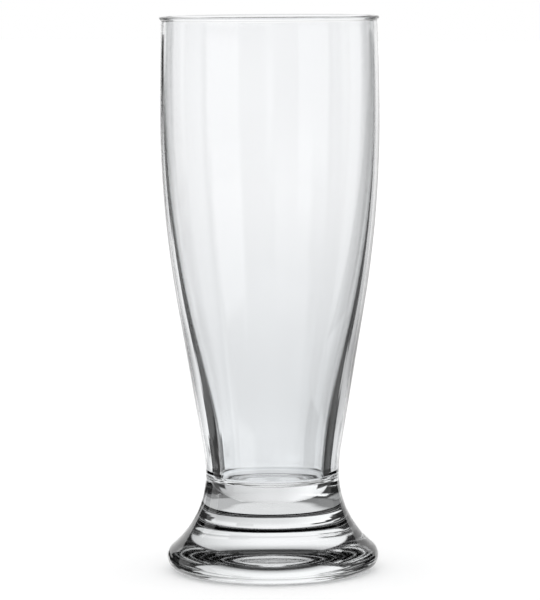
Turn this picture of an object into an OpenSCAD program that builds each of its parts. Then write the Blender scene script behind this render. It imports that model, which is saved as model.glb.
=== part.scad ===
// Footed pilsner glass: a blown bowl that widens upwards to a drawn-in mouth,
// welded hot onto a solid pressed foot. Both pieces are turned about Z,
// so each is one outline of points [radius, height]. The glass stands on z = 0.

/* [Overall] */
// Height of the glass from the table to the top of the rim
glass_h = 170; // [164:1:185]

/* [Bowl outside] */
// Diameter at the belly, the widest place of the bowl
belly_d = 67; // [63:0.2:71]
// Depth of the belly below the top of the rim
belly_drop = 30; // [20:1:45]
// How many degrees more the taper leans than a straight line from belly to waist
taper_lean = 2.85; // [1:0.05:4]
// Diameter of the waist, where the bowl is welded to the foot
waist_d = 41; // [38:0.2:46]
// Radius of the hollow curve from the taper into the waist
waist_arc_r = 45; // [20:1:60]
// Radius of the long curve that draws the bowl in from the belly to the mouth
mouth_arc_r = 700; // [450:10:1500]

/* [Bowl inside] */
// Wall thickness at the widest place inside
upper_wall = 1.15; // [0.9:0.05:1.8]
// Depth of the widest place inside below the top of the rim
inner_belly_drop = 20; // [12:1:30]
// Radius of the inside curve from its widest place up to the rim
inner_mouth_arc_r = 400; // [300:10:900]
// Wall thickness beside the inside floor
waist_wall = 4.7; // [3.5:0.1:6]
// How far the wall keeps its upper direction as it falls from the widest place
upper_ease = 67; // [55:1:80]
// How far the wall keeps upright as it rises from the inside floor
lower_ease = 27; // [15:1:40]
// Depth of the inside floor below the weld
floor_drop = 2.7; // [1:0.1:4]
// Radius of the corner around the inside floor
corner_r = 1.8; // [1:0.1:3]
// Thickness of the bowl's rounded bottom at its centre
bottom_t = 7; // [5.5:0.1:9]

/* [Rim] */
// Thickness of the fire-polished rim
rim_t = 1.1; // [0.8:0.05:1.4]
// How far the rim stands out from the wall under it
rim_overhang = 0.65; // [0.4:0.05:0.9]
// Radius of the small cove under the rim
cove_r = 0.5; // [0.3:0.05:1]

/* [Foot] */
// Height of the weld above the table
weld_z = 30; // [27:0.5:34]
// Diameter of the foot
foot_d = 65; // [58:0.2:72]
// Radius of the foot's rounded edge
edge_r = 4.2; // [3:0.05:6]
// Width of the flat ring that the glass stands on
ring_w = 1.2; // [0.8:0.1:4]
// Height of the hollow under the foot
hollow_h = 3.7; // [1:0.1:5]
// Radius of the softened edges on both sides of the weld crease
crease_r = 0.3; // [0.15:0.05:0.5]

/* [Smoothness] */
// Widest gap between a curve and the short straight lines that follow it
curve_gap = 0.008; // [0.004:0.001:0.03]

/* [Hidden] */
turn_fn = 180;
wall_steps = 40;
same_point = 0.0001;

// The place on a circle about c that faces point p
function facing(c, r, p) = c + r * (p - c) / norm(p - c);

// Where two circles cross; side is 1 or -1 and picks one of the two places
function crossing(c1, r1, c2, r2, side) =
    let (span = norm(c2 - c1),
         along = (span * span + r1 * r1 - r2 * r2) / (2 * span),
         out = sqrt(r1 * r1 - along * along),
         dir = (c2 - c1) / span)
    c1 + along * dir + side * out * [-dir.y, dir.x];

// Turn from angle a to angle b by the shorter way
function sweep(a, b) = let (d = b - a) d > 180 ? d - 360 : d < -180 ? d + 360 : d;

// Points of the arc about c from point p to point q
function arc(c, p, q) =
    let (r = norm(p - c),
         start = atan2(p.y - c.y, p.x - c.x),
         turn = sweep(start, atan2(q.y - c.y, q.x - c.x)),
         n = max(2, ceil(abs(turn) / (2 * acos(1 - curve_gap / r)))))
    [for (i = [0 : n]) c + r * [cos(start + turn * i / n), sin(start + turn * i / n)]];

// Points of a curve that leaves p towards p_pull and reaches q from q_pull
function eased(p, p_pull, q_pull, q) =
    [for (i = [0 : wall_steps])
        let (t = i / wall_steps, u = 1 - t)
        u * u * u * p + 3 * u * u * t * p_pull + 3 * u * t * t * q_pull + t * t * t * q];

function reversed(pts) = [for (i = [len(pts) - 1 : -1 : 0]) pts[i]];

// One outline from stretches that share their end points
function joined(stretches) =
    let (all = [for (s = stretches) each s])
    [for (i = [0 : len(all) - 1]) if (i == 0 || norm(all[i] - all[max(0, i - 1)]) > same_point) all[i]];

// Bowl outside: waist curve, straight taper, belly curve and mouth curve, each tangent to the next
waist_r = waist_d / 2;
belly_r = belly_d / 2;
belly_z = glass_h - belly_drop;
taper_deg = atan2(belly_r - waist_r, belly_z - weld_z) + taper_lean;
belly_arc_r = ((waist_r - belly_r) * cos(taper_deg) + (belly_z - weld_z) * sin(taper_deg))
    / (1 - cos(taper_deg)) - waist_arc_r;
waist_c = [waist_r + waist_arc_r, weld_z];
belly_c = [belly_r - belly_arc_r, belly_z];
mouth_c = [belly_r - mouth_arc_r, belly_z];
belly_pt = [belly_r, belly_z];
taper_dir = [cos(taper_deg), -sin(taper_deg)];
taper_low = waist_c - waist_arc_r * taper_dir;
taper_high = belly_c + belly_arc_r * taper_dir;
function mouth_wall_r(z) = mouth_c.x + sqrt(pow(mouth_arc_r, 2) - pow(z - belly_z, 2));

// Bowl inside: mouth curve, one long easing curve, corner and flat floor
floor_z = weld_z - floor_drop;
inner_belly_z = glass_h - inner_belly_drop;
inner_belly_pt = [mouth_wall_r(inner_belly_z) - upper_wall, inner_belly_z];
inner_mouth_c = inner_belly_pt - [inner_mouth_arc_r, 0];
inner_low_pt = [waist_r - waist_wall, floor_z + corner_r];
corner_c = inner_low_pt - [corner_r, 0];

// Rim: rounded inside and outside, with a cove where it leaves the wall
rim_r = rim_t / 2;
rim_z = glass_h - rim_r;
rim_out_c = [mouth_wall_r(rim_z) + rim_overhang - rim_r, rim_z];
rim_in_c = [inner_mouth_c.x + sqrt(pow(inner_mouth_arc_r + rim_r, 2) - pow(rim_z - inner_belly_z, 2)), rim_z];
cove_c = crossing(mouth_c, mouth_arc_r + cove_r, rim_out_c, rim_r + cove_r, -1);

// Foot: the flare leaves the waist upright and runs tangent into the rounded edge
foot_r = foot_d / 2;
edge_c = [foot_r - edge_r, edge_r];
flare_r = (pow(waist_r - edge_c.x, 2) + pow(weld_z - edge_r, 2) - pow(edge_r, 2)) / (2 * (foot_r - waist_r));
flare_c = [waist_r + flare_r, weld_z];
ring_in_r = edge_c.x - ring_w;
hollow_c = [0, hollow_h - (pow(ring_in_r, 2) + pow(hollow_h, 2)) / (2 * hollow_h)];

// Weld: the bowl's round bottom lies in a dish of the same curve on the foot
dish_h = floor_drop + bottom_t;
dish_r = (pow(waist_r, 2) + pow(dish_h, 2)) / (2 * dish_h);
dish_low = [0, weld_z - dish_h];
dish_c = dish_low + [0, dish_r];
bowl_crease_c = crossing(dish_c, dish_r - crease_r, waist_c, waist_arc_r + crease_r, -1);
foot_crease_c = crossing(dish_c, dish_r + crease_r, flare_c, flare_r + crease_r, -1);
dish_edge = facing(dish_c, dish_r, foot_crease_c);
dish = arc(dish_c, dish_low, dish_edge);

bowl_crease_in = facing(dish_c, dish_r, bowl_crease_c);
bowl_crease_out = facing(waist_c, waist_arc_r, bowl_crease_c);
cove_low = facing(mouth_c, mouth_arc_r, cove_c);
cove_high = facing(rim_out_c, rim_r, cove_c);
rim_in_low = facing(inner_mouth_c, inner_mouth_arc_r, rim_in_c);

bowl_outline = joined([
    dish,
    arc(dish_c, dish_edge, bowl_crease_in),
    arc(bowl_crease_c, bowl_crease_in, bowl_crease_out),
    arc(waist_c, bowl_crease_out, taper_low),
    arc(belly_c, taper_high, belly_pt),
    arc(mouth_c, belly_pt, cove_low),
    arc(cove_c, cove_low, cove_high),
    arc(rim_out_c, cove_high, rim_out_c + [0, rim_r]),
    arc(rim_in_c, rim_in_c + [0, rim_r], rim_in_low),
    arc(inner_mouth_c, rim_in_low, inner_belly_pt),
    eased(inner_belly_pt, inner_belly_pt - [0, upper_ease], inner_low_pt + [0, lower_ease], inner_low_pt),
    arc(corner_c, inner_low_pt, corner_c - [0, corner_r]),
    [[0, floor_z]]
]);

foot_edge_top = facing(edge_c, edge_r, flare_c);
foot_crease_out = facing(flare_c, flare_r, foot_crease_c);

foot_outline = joined([
    arc(hollow_c, [0, hollow_h], [ring_in_r, 0]),
    arc(edge_c, edge_c - [0, edge_r], foot_edge_top),
    arc(flare_c, foot_edge_top, foot_crease_out),
    arc(foot_crease_c, foot_crease_out, dish_edge),
    reversed(dish)
]);

module turned(outline) {
    rotate_extrude($fn = turn_fn) polygon(outline);
}

// Blown bowl with its fire-polished rim and round bottom
module bowl() {
    color([0.87, 0.91, 0.9, 0.45]) turned(bowl_outline);
}

// Solid pressed foot with the dish that takes the bowl
module foot() {
    color([0.78, 0.84, 0.82, 0.6]) turned(foot_outline);
}

bowl();
foot();
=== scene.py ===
import math

import bmesh
import bpy
from mathutils import Matrix, Vector


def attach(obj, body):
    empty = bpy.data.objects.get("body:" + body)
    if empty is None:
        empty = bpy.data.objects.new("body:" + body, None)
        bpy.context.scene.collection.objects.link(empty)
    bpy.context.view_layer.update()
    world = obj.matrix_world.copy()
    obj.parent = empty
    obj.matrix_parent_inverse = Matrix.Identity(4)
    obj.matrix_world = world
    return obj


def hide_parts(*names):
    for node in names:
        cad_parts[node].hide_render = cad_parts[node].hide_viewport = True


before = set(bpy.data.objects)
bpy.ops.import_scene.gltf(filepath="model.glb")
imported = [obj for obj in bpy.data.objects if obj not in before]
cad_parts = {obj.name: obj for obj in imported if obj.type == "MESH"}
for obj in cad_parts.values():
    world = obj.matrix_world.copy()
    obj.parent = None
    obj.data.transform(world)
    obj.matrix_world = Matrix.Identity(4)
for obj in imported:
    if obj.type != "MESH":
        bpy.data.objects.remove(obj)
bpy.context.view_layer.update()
scene = bpy.context.scene
mm = 0.001
print("frame loaded:", sorted(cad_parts))


# Node helpers

class Wire:
    # one output socket that can be used in plain maths
    def __init__(self, tree, socket):
        self.tree = tree
        self.socket = socket

    def other(self, name):
        return Wire(self.tree, self.socket.node.outputs[name])

    def __add__(self, value):
        return self.tree.maths("ADD", self, value)

    def __radd__(self, value):
        return self.tree.maths("ADD", value, self)

    def __sub__(self, value):
        return self.tree.maths("SUBTRACT", self, value)

    def __rsub__(self, value):
        return self.tree.maths("SUBTRACT", value, self)

    def __mul__(self, value):
        return self.tree.maths("MULTIPLY", self, value)

    def __rmul__(self, value):
        return self.tree.maths("MULTIPLY", value, self)

    def __abs__(self):
        return self.tree.maths("ABSOLUTE", self)

    def __gt__(self, value):
        return self.tree.maths("GREATER_THAN", self, value)

    def orMore(self, value):
        return self.tree.maths("MAXIMUM", self, value)

    def below(self, edge, soft):
        # 1 under the edge, 0 over it, with a smooth step between
        ranges = {"Value": self, "From Min": edge - soft, "From Max": edge + soft,
                  "To Min": 1.0, "To Max": 0.0}
        return self.tree.node("ShaderNodeMapRange", {"interpolation_type": "SMOOTHSTEP"}, ranges)


class Tree:
    # one node tree, to which every node is added by the same method
    def __init__(self, nodeTree):
        self.nodes = nodeTree.nodes
        self.links = nodeTree.links

    def node(self, kind, settings=None, sockets=None, out=0):
        made = self.nodes.new(kind)
        for name, value in (settings or {}).items():
            setattr(made, name, value)
        for name, value in (sockets or {}).items():
            if isinstance(value, Wire):
                self.links.new(value.socket, made.inputs[name])
            else:
                made.inputs[name].default_value = value
        return Wire(self, made.outputs[out]) if made.outputs else made

    def maths(self, operation, *values):
        return self.node("ShaderNodeMath", {"operation": operation}, dict(enumerate(values)))


def emptyTree(owner):
    # the node tree of a material or the world, with its first nodes gone
    owner.use_nodes = True
    owner.node_tree.nodes.clear()
    return Tree(owner.node_tree)


# Outline helpers: points are (radius, height) in millimetres

def facing(centre, radius, point):
    return centre + radius * (point - centre).normalized()


def crossing(centreA, radiusA, centreB, radiusB):
    # where two circles cross, on the right of the way from A to B
    span = (centreB - centreA).length
    along = (span * span + radiusA * radiusA - radiusB * radiusB) / (2 * span)
    out = math.sqrt(radiusA * radiusA - along * along)
    direction = (centreB - centreA) / span
    return centreA + along * direction - out * Vector((-direction.y, direction.x))


def arc(centre, start, end, gap=0.003):
    # the shorter way round, in steps that stay within the gap of the true curve
    radius = (start - centre).length
    first = math.atan2(start.y - centre.y, start.x - centre.x)
    turn = math.atan2(end.y - centre.y, end.x - centre.x) - first
    turn = (turn + math.pi) % (2 * math.pi) - math.pi
    steps = max(3, math.ceil(abs(turn) / (2 * math.acos(1 - gap / radius))))
    angles = [first + turn * i / steps for i in range(steps + 1)]
    return [centre + radius * Vector((math.cos(a), math.sin(a))) for a in angles]


def eased(start, startPull, endPull, end, steps=90):
    points = []
    for i in range(steps + 1):
        t = i / steps
        u = 1 - t
        points.append(u ** 3 * start + 3 * u * u * t * startPull + 3 * u * t * t * endPull + t ** 3 * end)
    return points


def straight(start, end, steps):
    return [start.lerp(end, i / steps) for i in range(steps + 1)]


# Weld and foot: the dish under the bowl, and the flare that leaves the waist upright

weld = {
    "height": 30.0,
    "waistRadius": 20.5,
    "floorDrop": 2.7,        # inside floor below the crease
    "bottomThickness": 7.0,  # bowl's bottom at its centre
    "creaseRadius": 0.3,
    "waistArc": 45.0,
}

foot = {
    "radius": 32.5,
    "edgeRadius": 4.2,
    "ringWidth": 1.2,
    "hollowHeight": 3.7,
    "ringSteps": 4,
    "facets": 512,
}

waist = Vector((weld["waistRadius"], weld["height"]))
waistCentre = waist + Vector((weld["waistArc"], 0))
edgeCentre = Vector((foot["radius"] - foot["edgeRadius"], foot["edgeRadius"]))
ringIn = edgeCentre.x - foot["ringWidth"]
flareReach = 2 * (foot["radius"] - waist.x)
flareRadius = ((waist - edgeCentre).length_squared - foot["edgeRadius"] ** 2) / flareReach
flareCentre = waist + Vector((flareRadius, 0))
dishHeight = weld["floorDrop"] + weld["bottomThickness"]
dishRadius = (waist.x ** 2 + dishHeight ** 2) / (2 * dishHeight)
dishLow = Vector((0, weld["height"] - dishHeight))
dishCentre = dishLow + Vector((0, dishRadius))
creaseRadius = weld["creaseRadius"]
bowlCrease = crossing(dishCentre, dishRadius - creaseRadius, waistCentre, weld["waistArc"] + creaseRadius)
footCrease = crossing(dishCentre, dishRadius + creaseRadius, flareCentre, flareRadius + creaseRadius)
dishEdge = facing(dishCentre, dishRadius, footCrease)
dish = arc(dishCentre, dishLow, dishEdge)


def footOutline():
    hollowHeight = foot["hollowHeight"]
    hollowRadius = (ringIn ** 2 + hollowHeight ** 2) / (2 * hollowHeight)
    hollowTop = Vector((0, hollowHeight))
    edgeLow = edgeCentre - Vector((0, foot["edgeRadius"]))
    edgeTop = facing(edgeCentre, foot["edgeRadius"], flareCentre)
    creaseOut = facing(flareCentre, flareRadius, footCrease)
    return [
        arc(hollowTop - Vector((0, hollowRadius)), hollowTop, Vector((ringIn, 0))),
        straight(Vector((ringIn, 0)), edgeLow, foot["ringSteps"]),
        arc(edgeCentre, edgeLow, edgeTop),
        arc(flareCentre, edgeTop, creaseOut),
        arc(footCrease, creaseOut, dishEdge),
        dish[::-1],
    ]


# Bowl: arcs and a straight taper outside, one long easing curve inside

bowl = {
    "height": 170.0,
    "bellyRadius": 33.5,
    "bellyDrop": 30.0,
    "taperLean": 2.85,       # degrees past the line from belly to waist
    "mouthArc": 700.0,
    "upperWall": 1.15,
    "innerBellyDrop": 20.0,
    "innerMouthArc": 400.0,
    "waistWall": 4.7,
    "upperEase": 67.0,
    "lowerEase": 27.0,
    "cornerRadius": 1.8,
    "rimThickness": 1.1,
    "rimOverhang": 0.65,
    "coveRadius": 0.5,
    "taperSteps": 16,
    "floorSteps": 12,
    "facets": 256,
}


def bowlOutline():
    bellyZ = bowl["height"] - bowl["bellyDrop"]
    belly = Vector((bowl["bellyRadius"], bellyZ))
    lean = math.atan2(belly.x - waist.x, bellyZ - waist.y) + math.radians(bowl["taperLean"])
    across = (waist.x - belly.x) * math.cos(lean) + (bellyZ - waist.y) * math.sin(lean)
    bellyArc = across / (1 - math.cos(lean)) - weld["waistArc"]
    bellyCentre = belly - Vector((bellyArc, 0))
    mouthCentre = belly - Vector((bowl["mouthArc"], 0))
    taper = Vector((math.cos(lean), -math.sin(lean)))

    def mouthWall(z):
        return mouthCentre.x + math.sqrt(bowl["mouthArc"] ** 2 - (z - bellyZ) ** 2)

    innerZ = bowl["height"] - bowl["innerBellyDrop"]
    innerBelly = Vector((mouthWall(innerZ) - bowl["upperWall"], innerZ))
    innerMouth = innerBelly - Vector((bowl["innerMouthArc"], 0))
    floorZ = weld["height"] - weld["floorDrop"]
    innerLow = Vector((waist.x - bowl["waistWall"], floorZ + bowl["cornerRadius"]))
    corner = innerLow - Vector((bowl["cornerRadius"], 0))
    cornerLow = corner - Vector((0, bowl["cornerRadius"]))

    rim = bowl["rimThickness"] / 2
    rimZ = bowl["height"] - rim
    rimUp = Vector((0, rim))
    rimOut = Vector((mouthWall(rimZ) + bowl["rimOverhang"] - rim, rimZ))
    rimInX = innerMouth.x + math.sqrt((bowl["innerMouthArc"] + rim) ** 2 - (rimZ - innerZ) ** 2)
    rimIn = Vector((rimInX, rimZ))
    cove = crossing(mouthCentre, bowl["mouthArc"] + bowl["coveRadius"], rimOut, rim + bowl["coveRadius"])

    creaseIn = facing(dishCentre, dishRadius, bowlCrease)
    creaseOut = facing(waistCentre, weld["waistArc"], bowlCrease)
    coveLow = facing(mouthCentre, bowl["mouthArc"], cove)
    coveHigh = facing(rimOut, rim, cove)
    rimInLow = facing(innerMouth, bowl["innerMouthArc"], rimIn)
    taperLow = waistCentre - weld["waistArc"] * taper
    taperHigh = bellyCentre + bellyArc * taper
    return [
        dish,
        arc(dishCentre, dishEdge, creaseIn),
        arc(bowlCrease, creaseIn, creaseOut),
        arc(waistCentre, creaseOut, taperLow),
        straight(taperLow, taperHigh, bowl["taperSteps"]),
        arc(bellyCentre, taperHigh, belly),
        arc(mouthCentre, belly, coveLow),
        arc(cove, coveLow, coveHigh),
        arc(rimOut, coveHigh, rimOut + rimUp),
        arc(rimIn, rimIn + rimUp, rimInLow),
        arc(innerMouth, rimInLow, innerBelly),
        eased(innerBelly, innerBelly - Vector((0, bowl["upperEase"])),
              innerLow + Vector((0, bowl["lowerEase"])), innerLow),
        arc(corner, innerLow, cornerLow),
        straight(cornerLow, Vector((0, floorZ)), bowl["floorSteps"]),
    ]


# Turning: a node tree that sweeps an outline round the axis

ripple = {
    "depth": 0.035 * mm,     # slow waves left by blowing
    "scale": 26.0,           # waves to the metre, roughly
    "detail": 1.0,
    "lowest": 40.0,          # no waves under this height
    "highest": 166.0,
    "fade": 14.0,
}

seams = {
    "samePoint": 1e-4,       # millimetres between points that count as one
    "merge": 0.002 * mm,     # closes the seam and the poles
    "digits": 5,             # for finding the weld's points again
    "weldShare": 0.99,       # a face is on the weld when all its points are
    "sharpAngle": 28.0,
}


def turningTree():
    group = bpy.data.node_groups.new("turnedGlass", "GeometryNodeTree")
    inputs = {"Outline": "Geometry", "Facets": "Int", "Ripple depth": "Float", "Ripple scale": "Float",
              "Glass": "Material", "Weld": "Material"}
    for name, kind in inputs.items():
        group.interface.new_socket(name, in_out="INPUT", socket_type="NodeSocket" + kind)
    group.interface.new_socket("Turned", in_out="OUTPUT", socket_type="NodeSocketGeometry")
    tree = Tree(group)
    given = tree.node("NodeGroupInput")
    outline = given.other("Outline")
    pointCount = tree.node("GeometryNodeAttributeDomainSize", {"component": "MESH"}, {"Geometry": outline})
    around = given.other("Facets") + 1
    sheet = tree.node("GeometryNodeMeshGrid", None,
                      {"Size X": 1.0, "Size Y": 1.0, "Vertices X": pointCount, "Vertices Y": around})

    # which outline point a grid row stands for, and how far round a column is
    place = tree.node("GeometryNodeInputPosition")
    split = tree.node("ShaderNodeSeparateXYZ", None, {"Vector": place})
    row = tree.maths("ROUND", (split + 0.5) * (pointCount - 1))
    angle = (split.other("Y") + 0.5) * (2 * math.pi)

    def sampled(kind, value):
        return tree.node("GeometryNodeSampleIndex", {"data_type": kind, "domain": "POINT"},
                         {"Geometry": outline, "Value": value, "Index": row})

    def attribute(name):
        return tree.node("GeometryNodeInputNamedAttribute", {"data_type": "FLOAT"}, {"Name": name})

    sheet = tree.node("GeometryNodeStoreNamedAttribute", {"data_type": "FLOAT", "domain": "POINT"},
                      {"Geometry": sheet, "Name": "weld", "Value": sampled("FLOAT", attribute("weld"))})
    point = tree.node("ShaderNodeSeparateXYZ", None, {"Vector": sampled("FLOAT_VECTOR", place)})
    height = point.other("Z")
    cosine = tree.maths("COSINE", angle)
    sine = tree.maths("SINE", angle)
    smooth = tree.node("ShaderNodeCombineXYZ", None, {"X": point * cosine, "Y": point * sine, "Z": height})
    noise = tree.node("ShaderNodeTexNoise", None,
                      {"Vector": smooth, "Scale": given.other("Ripple scale"), "Detail": ripple["detail"]})
    swing = (noise - 0.5) * 2.0 * given.other("Ripple depth")
    waved = point + swing * sampled("FLOAT", attribute("ripple"))
    turned = tree.node("ShaderNodeCombineXYZ", None, {"X": waved * cosine, "Y": waved * sine, "Z": height})
    sheet = tree.node("GeometryNodeSetPosition", None, {"Geometry": sheet, "Position": turned})
    sheet = tree.node("GeometryNodeMergeByDistance", None, {"Geometry": sheet, "Distance": seams["merge"]})
    sheet = tree.node("GeometryNodeSetShadeSmooth", None, {"Geometry": sheet})
    sheet = tree.node("GeometryNodeRealizeInstances", None, {"Geometry": sheet})
    sheet = tree.node("GeometryNodeSetMaterial", None,
                      {"Geometry": sheet, "Material": given.other("Glass")})
    onWeld = attribute("weld") > seams["weldShare"]
    sheet = tree.node("GeometryNodeSetMaterial", None,
                      {"Geometry": sheet, "Selection": onWeld, "Material": given.other("Weld")})
    tree.node("NodeGroupOutput", None, {"Turned": sheet})
    return group


def joined(stretches):
    points = []
    for stretch in stretches:
        points += [p for p in stretch if not points or (p - points[-1]).length > seams["samePoint"]]
    return points


def spot(point):
    return round(point.x, seams["digits"]), round(point.y, seams["digits"])


def turn(name, stretches, facets, glass, weldGlass, group):
    points = joined(stretches)
    dishSpots = {spot(p) for p in dish}
    mesh = bpy.data.meshes.new(name + "Outline")
    edges = [(i, i + 1) for i in range(len(points) - 1)]
    mesh.from_pydata([(max(p.x, 0) * mm, 0, p.y * mm) for p in points], edges, [])
    onWeld = mesh.attributes.new("weld", "FLOAT", "POINT")
    onRipple = mesh.attributes.new("ripple", "FLOAT", "POINT")
    for i, p in enumerate(points):
        onWeld.data[i].value = float(spot(p) in dishSpots)
        rise = min(max((p.y - ripple["lowest"]) / ripple["fade"], 0), 1)
        drop = min(max((ripple["highest"] - p.y) / ripple["fade"], 0), 1)
        onRipple.data[i].value = rise * drop
    outline = bpy.data.objects.new(name + "Outline", mesh)
    scene.collection.objects.link(outline)
    modifier = outline.modifiers.new("turn", "NODES")
    modifier.node_group = group
    sizes = {"Facets": facets, "Ripple depth": ripple["depth"], "Ripple scale": ripple["scale"],
             "Glass": glass, "Weld": weldGlass}
    for item in group.interface.items_tree:
        if item.in_out == "INPUT" and item.name in sizes:
            modifier[item.identifier] = sizes[item.name]
    evaluated = outline.evaluated_get(bpy.context.evaluated_depsgraph_get())
    turned = bpy.data.meshes.new_from_object(evaluated)
    bpy.data.objects.remove(outline)
    bm = bmesh.new()
    bm.from_mesh(turned)
    bmesh.ops.recalc_face_normals(bm, faces=bm.faces)
    bm.to_mesh(turned)
    bm.free()
    turned.attributes.remove(turned.attributes["weld"])
    turned.set_sharp_from_angle(angle=math.radians(seams["sharpAngle"]))
    piece = bpy.data.objects.new(name, turned)
    scene.collection.objects.link(piece)
    print(name, "turned:", len(points), "outline points,", len(turned.polygons), "faces")
    return piece


# Glass

glassSurface = {
    "ior": 1.52,
    "smearScale": 45.0,
    "smearDetail": 4.0,
    "smearUnder": 0.42,      # noise under this is a smear
    "smearSoft": 0.12,
    "waveScale": 60.0,
    "waveDepth": 0.2 * mm,
}

bowlFinish = {
    "tintTop": (0.985, 0.991, 0.998, 1),
    "tintLow": (0.902, 0.917, 0.929, 1),
    "tintFrom": 30.0 * mm,   # heights between which the thicker wall darkens
    "tintTo": 114.0 * mm,
    "smear": 0.006,
    "wave": 0.02,
}

footFinish = {
    "tintTop": (0.954, 0.970, 0.984, 1),
    "tintLow": (0.954, 0.970, 0.976, 1),
    "tintFrom": 0.0,
    "tintTo": 30.0 * mm,
    "smear": 0.004,
    "wave": 0.012,
    "satin": 0.08,           # left by the mould in the hollow under the foot
    "satinTop": (foot["hollowHeight"] + 0.5) * mm,
    "satinTopSoft": 0.2 * mm,
    "satinEdge": ringIn * mm,
    "satinEdgeSoft": 0.3 * mm,
}


def clearGlass(name, finish):
    material = bpy.data.materials.new(name)
    tree = emptyTree(material)
    place = tree.node("ShaderNodeTexCoord", out="Object")
    height = tree.node("ShaderNodeSeparateXYZ", None, {"Vector": place}, out="Z")
    rise = tree.node("ShaderNodeMapRange", None,
                     {"Value": height, "From Min": finish["tintFrom"], "From Max": finish["tintTo"]})
    tint = tree.node("ShaderNodeMix", {"data_type": "RGBA"},
                     {"Factor": rise, 6: finish["tintLow"], 7: finish["tintTop"]}, out=2)
    smear = tree.node("ShaderNodeTexNoise", None,
                      {"Vector": place, "Scale": glassSurface["smearScale"],
                       "Detail": glassSurface["smearDetail"]})
    roughness = smear.below(glassSurface["smearUnder"], glassSurface["smearSoft"]) * finish["smear"]
    if "satin" in finish:
        across = tree.node("ShaderNodeVectorMath", {"operation": "MULTIPLY"}, {0: place, 1: (1, 1, 0)})
        radius = tree.node("ShaderNodeVectorMath", {"operation": "LENGTH"}, {0: across}, out="Value")
        under = height.below(finish["satinTop"], finish["satinTopSoft"])
        within = radius.below(finish["satinEdge"], finish["satinEdgeSoft"])
        roughness = roughness + under * within * finish["satin"]
    waves = tree.node("ShaderNodeTexNoise", None,
                      {"Vector": place, "Scale": glassSurface["waveScale"], "Detail": 0.0})
    bump = tree.node("ShaderNodeBump", None,
                     {"Strength": finish["wave"], "Distance": glassSurface["waveDepth"], "Height": waves})
    shader = tree.node("ShaderNodeBsdfPrincipled", None,
                       {"Base Color": tint, "Roughness": roughness, "Normal": bump,
                        "IOR": glassSurface["ior"], "Transmission Weight": 1.0})
    tree.node("ShaderNodeOutputMaterial", None, {"Surface": shader})
    return material


def fusedGlass(name):
    # inside the weld the glass is one piece, so its two faces don't show
    material = bpy.data.materials.new(name)
    tree = emptyTree(material)
    shader = tree.node("ShaderNodeBsdfPrincipled", None, {"Alpha": 0.0, "IOR": 1.0, "Roughness": 0.0})
    tree.node("ShaderNodeOutputMaterial", None, {"Surface": shader})
    return material


turning = turningTree()
fused = fusedGlass("fusedGlass")
bowlGlass = clearGlass("bowlGlass", bowlFinish)
footGlass = clearGlass("footGlass", footFinish)
bowlPiece = turn("blownBowl", bowlOutline(), bowl["facets"], bowlGlass, fused, turning)
footPiece = turn("pressedFoot", footOutline(), foot["facets"], footGlass, fused, turning)
for piece, node, slot in ((bowlPiece, "bowl", "bowl_glass"), (footPiece, "foot", "foot_glass")):
    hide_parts(node)
    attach(piece, "root")
print("glass pieces ride on root")


# Camera

camera = {
    "side": 25.0,            # degrees round the axis; the glass is round, so any side would do
    "place": (-0.00033, -1.05, 0.188),
    "down": 5.703,           # degrees
    "roll": 0.42,
    "lens": 206.5,
    "sensor": 36.0,
    "near": 0.01,
    "far": 50.0,
}


def addCamera():
    data = bpy.data.cameras.new("camera")
    data.lens = camera["lens"]
    data.sensor_width = camera["sensor"]
    data.clip_start = camera["near"]
    data.clip_end = camera["far"]
    eye = bpy.data.objects.new("camera", data)
    tilt = Matrix.Rotation(math.radians(90 - camera["down"]), 4, "X")
    roll = Matrix.Rotation(math.radians(-camera["roll"]), 4, "Z")
    side = Matrix.Rotation(math.radians(camera["side"]), 4, "Z")
    eye.matrix_world = side @ Matrix.Translation(camera["place"]) @ tilt @ roll
    scene.collection.objects.link(eye)
    scene.camera = eye


addCamera()
print("camera set")


# Studio: white panels between dark flags, as the glass sees them, and a pale floor

studio = {
    "flag": 0.02,            # light that the dark flags still give back
    "plain": 1.15,           # even light for the floor
    "sweepLevel": 1.05,
    "floorColour": (0.97, 0.97, 0.97, 1),
    "floorSize": 12.0,
    "floorDrop": 0.2 * mm,
}

# how the sweep's white fades: degrees where a fade starts and ends, and its share
fades = {
    "table": {"start": -2.0, "end": -20.0, "share": 0.20},
    "top": {"start": 20.0, "end": 42.0, "share": 0.55},
    "right": {"start": -2.0, "end": 40.0, "share": 0.30},
    "left": {"start": -2.0, "end": -28.0, "share": -0.32},   # brighter there, but only low down
}
leftTop = {"start": -10.0, "end": -6.0}

# Panels, in degrees: azimuth of the middle (0 is behind the glass, -90 on its left), half the width,
# lowest, highest and soft edge, and then the level of light

# the sweep behind the glass, with the gaps that draw the dark lines along its walls
sweepPanels = {
    "upper": {"azimuth": 3.3, "half": 35.0, "low": 0.0, "high": 39.5, "edge": 1.2, "level": 1.0},
    "slot": {"azimuth": -4.0, "half": 13.5, "low": -14.0, "high": 3.0, "edge": 2.0, "level": 1.0},
    "slotLeft": {"azimuth": -33.5, "half": 4.0, "low": -2.5, "high": 3.0, "edge": 2.0, "level": 0.9},
    "slotRight": {"azimuth": 12.0, "half": 5.0, "low": -14.0, "high": 2.0, "edge": 2.0, "level": 0.88},
    "slotFar": {"azimuth": 23.5, "half": 8.5, "low": -14.0, "high": 2.0, "edge": 1.5, "level": 1.12},
    "bend": {"azimuth": -18.5, "half": 7.0, "low": -14.0, "high": -6.2, "edge": 1.2, "level": 1.0},
    "middle": {"azimuth": 0.5, "half": 31.0, "low": -22.0, "high": -11.0, "edge": 1.0, "level": 1.0},
    "lower": {"azimuth": 1.5, "half": 35.5, "low": -29.0, "high": -20.0, "edge": 1.0, "level": 1.0},
    "table": {"azimuth": -1.5, "half": 48.5, "low": -49.0, "high": -26.0, "edge": 1.5, "level": 1.0},
}

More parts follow.
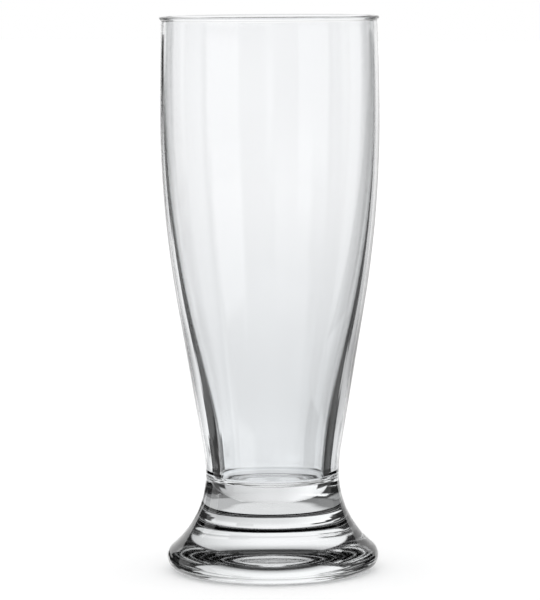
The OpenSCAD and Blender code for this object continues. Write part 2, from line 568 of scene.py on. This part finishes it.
# the table and the light boxes round the rest of the room
boxPanels = {
    "underTable": {"azimuth": 0.0, "half": 185.0, "low": -95.0, "high": -57.0, "edge": 8.0, "level": 0.82},
    "rightTable": {"azimuth": 88.0, "half": 42.0, "low": -62.0, "high": -34.0, "edge": 5.0, "level": 0.54},
    "leftTable": {"azimuth": -97.0, "half": 47.0, "low": -62.0, "high": -38.0, "edge": 5.0, "level": 0.25},
    "overhead": {"azimuth": 2.0, "half": 30.0, "low": 65.0, "high": 86.0, "edge": 2.0, "level": 1.3},
    "ceiling": {"azimuth": -5.0, "half": 35.0, "low": 50.0, "high": 57.0, "edge": 2.0, "level": 0.13},
    "leftBoxHigh": {"azimuth": -129.0, "half": 19.0, "low": -10.0, "high": 3.0, "edge": 2.0, "level": 1.0},
    "leftBoxLow": {"azimuth": -131.0, "half": 18.0, "low": -29.0, "high": -8.0, "edge": 2.0, "level": 1.25},
    "leftSide": {"azimuth": -67.0, "half": 11.0, "low": -11.0, "high": 30.0, "edge": 1.5, "level": 0.82},
    "leftSideLow": {"azimuth": -66.0, "half": 9.0, "low": -21.0, "high": -9.0, "edge": 2.0, "level": 0.4},
    "frontLow": {"azimuth": 155.0, "half": 22.0, "low": -27.0, "high": -7.0, "edge": 5.0, "level": 0.78},
    "frontTable": {"azimuth": 172.0, "half": 46.0, "low": -57.0, "high": -24.0, "edge": 5.0, "level": 0.8},
    "frontLeft": {"azimuth": -165.0, "half": 19.0, "low": -28.0, "high": 2.0, "edge": 4.0, "level": 0.5},
    "leftFar": {"azimuth": -91.0, "half": 14.0, "low": -38.0, "high": 2.0, "edge": 4.0, "level": 0.42},
    "rightSide": {"azimuth": 80.0, "half": 18.0, "low": -38.0, "high": 24.0, "edge": 4.0, "level": 0.5},
    "rightFront": {"azimuth": 115.0, "half": 21.0, "low": -34.0, "high": -5.0, "edge": 4.0, "level": 0.25},
}


def lightStudio():
    world = bpy.data.worlds.new("studio")
    scene.world = world
    tree = emptyTree(world)
    way = tree.node("ShaderNodeSeparateXYZ", None, {"Vector": tree.node("ShaderNodeTexCoord")})
    toDegrees = math.degrees(1)

    def wrapped(degrees):
        # the same angle between -180 and 180
        return tree.maths("FLOORED_MODULO", degrees + 180.0, 360.0) - 180.0

    def past(value, fade):
        # 0 up to the start of a fade, 1 from its end on
        middle = (fade["start"] + fade["end"]) / 2
        reached = value.below(middle, abs(fade["end"] - fade["start"]) / 2)
        return reached if fade["end"] < fade["start"] else 1 - reached

    azimuth = wrapped(tree.maths("ARCTAN2", way, way.other("Y")) * toDegrees + camera["side"])
    elevation = tree.maths("ARCSINE", way.other("Z")) * toDegrees

    def lit(panels):
        light = None
        for panel in panels.values():
            mask = abs(wrapped(azimuth - panel["azimuth"])).below(panel["half"], panel["edge"])
            mask = mask * elevation.below(panel["high"], panel["edge"])
            mask = mask * (1 - elevation.below(panel["low"], panel["edge"])) * panel["level"]
            light = mask if light is None else light.orMore(mask)
        return light

    faded = {
        "table": past(elevation, fades["table"]),
        "top": past(elevation, fades["top"]),
        "right": past(azimuth, fades["right"]),
        "left": past(azimuth, fades["left"]) * (1 - past(elevation, leftTop)),
    }
    tone = studio["sweepLevel"]
    for name, reached in faded.items():
        tone = tone * (1 - reached * fades[name]["share"])
    room = (lit(sweepPanels) * tone).orMore(lit(boxPanels)).orMore(studio["flag"])

    # the glass sees the room; the camera sees white, and the floor gets even light
    ray = tree.node("ShaderNodeLightPath", out="Is Camera Ray")
    viaFloor = ray.other("Diffuse Depth") > 0.5
    viaGlass = ray.other("Is Glossy Ray").orMore(ray.other("Is Transmission Ray")) * (1 - viaFloor)
    evenLight = ray + (1 - ray) * studio["plain"]
    level = viaGlass * room + (1 - viaGlass) * evenLight
    shine = tree.node("ShaderNodeBackground", None, {"Color": (1, 1, 1, 1), "Strength": level})
    tree.node("ShaderNodeOutputWorld", None, {"Surface": shine})


def layFloor():
    half = studio["floorSize"] / 2
    mesh = bpy.data.meshes.new("floor")
    corners = [(x * half, y * half, -studio["floorDrop"]) for x, y in ((-1, -1), (1, -1), (1, 1), (-1, 1))]
    mesh.from_pydata(corners, [], [(0, 1, 2, 3)])
    floor = bpy.data.objects.new("floor", mesh)
    scene.collection.objects.link(floor)
    material = bpy.data.materials.new("paleFloor")
    tree = emptyTree(material)
    shader = tree.node("ShaderNodeBsdfDiffuse", None, {"Color": studio["floorColour"]})
    tree.node("ShaderNodeOutputMaterial", None, {"Surface": shader})
    mesh.materials.append(material)
    floor.visible_transmission = False   # the glass sees the room instead
    floor.visible_glossy = False


lightStudio()
layFloor()
scene.view_settings.view_transform = "Standard"
scene.cycles.max_bounces = 12
scene.cycles.transmission_bounces = 10
scene.cycles.glossy_bounces = 3
scene.cycles.transparent_max_bounces = 16
print("studio lit")
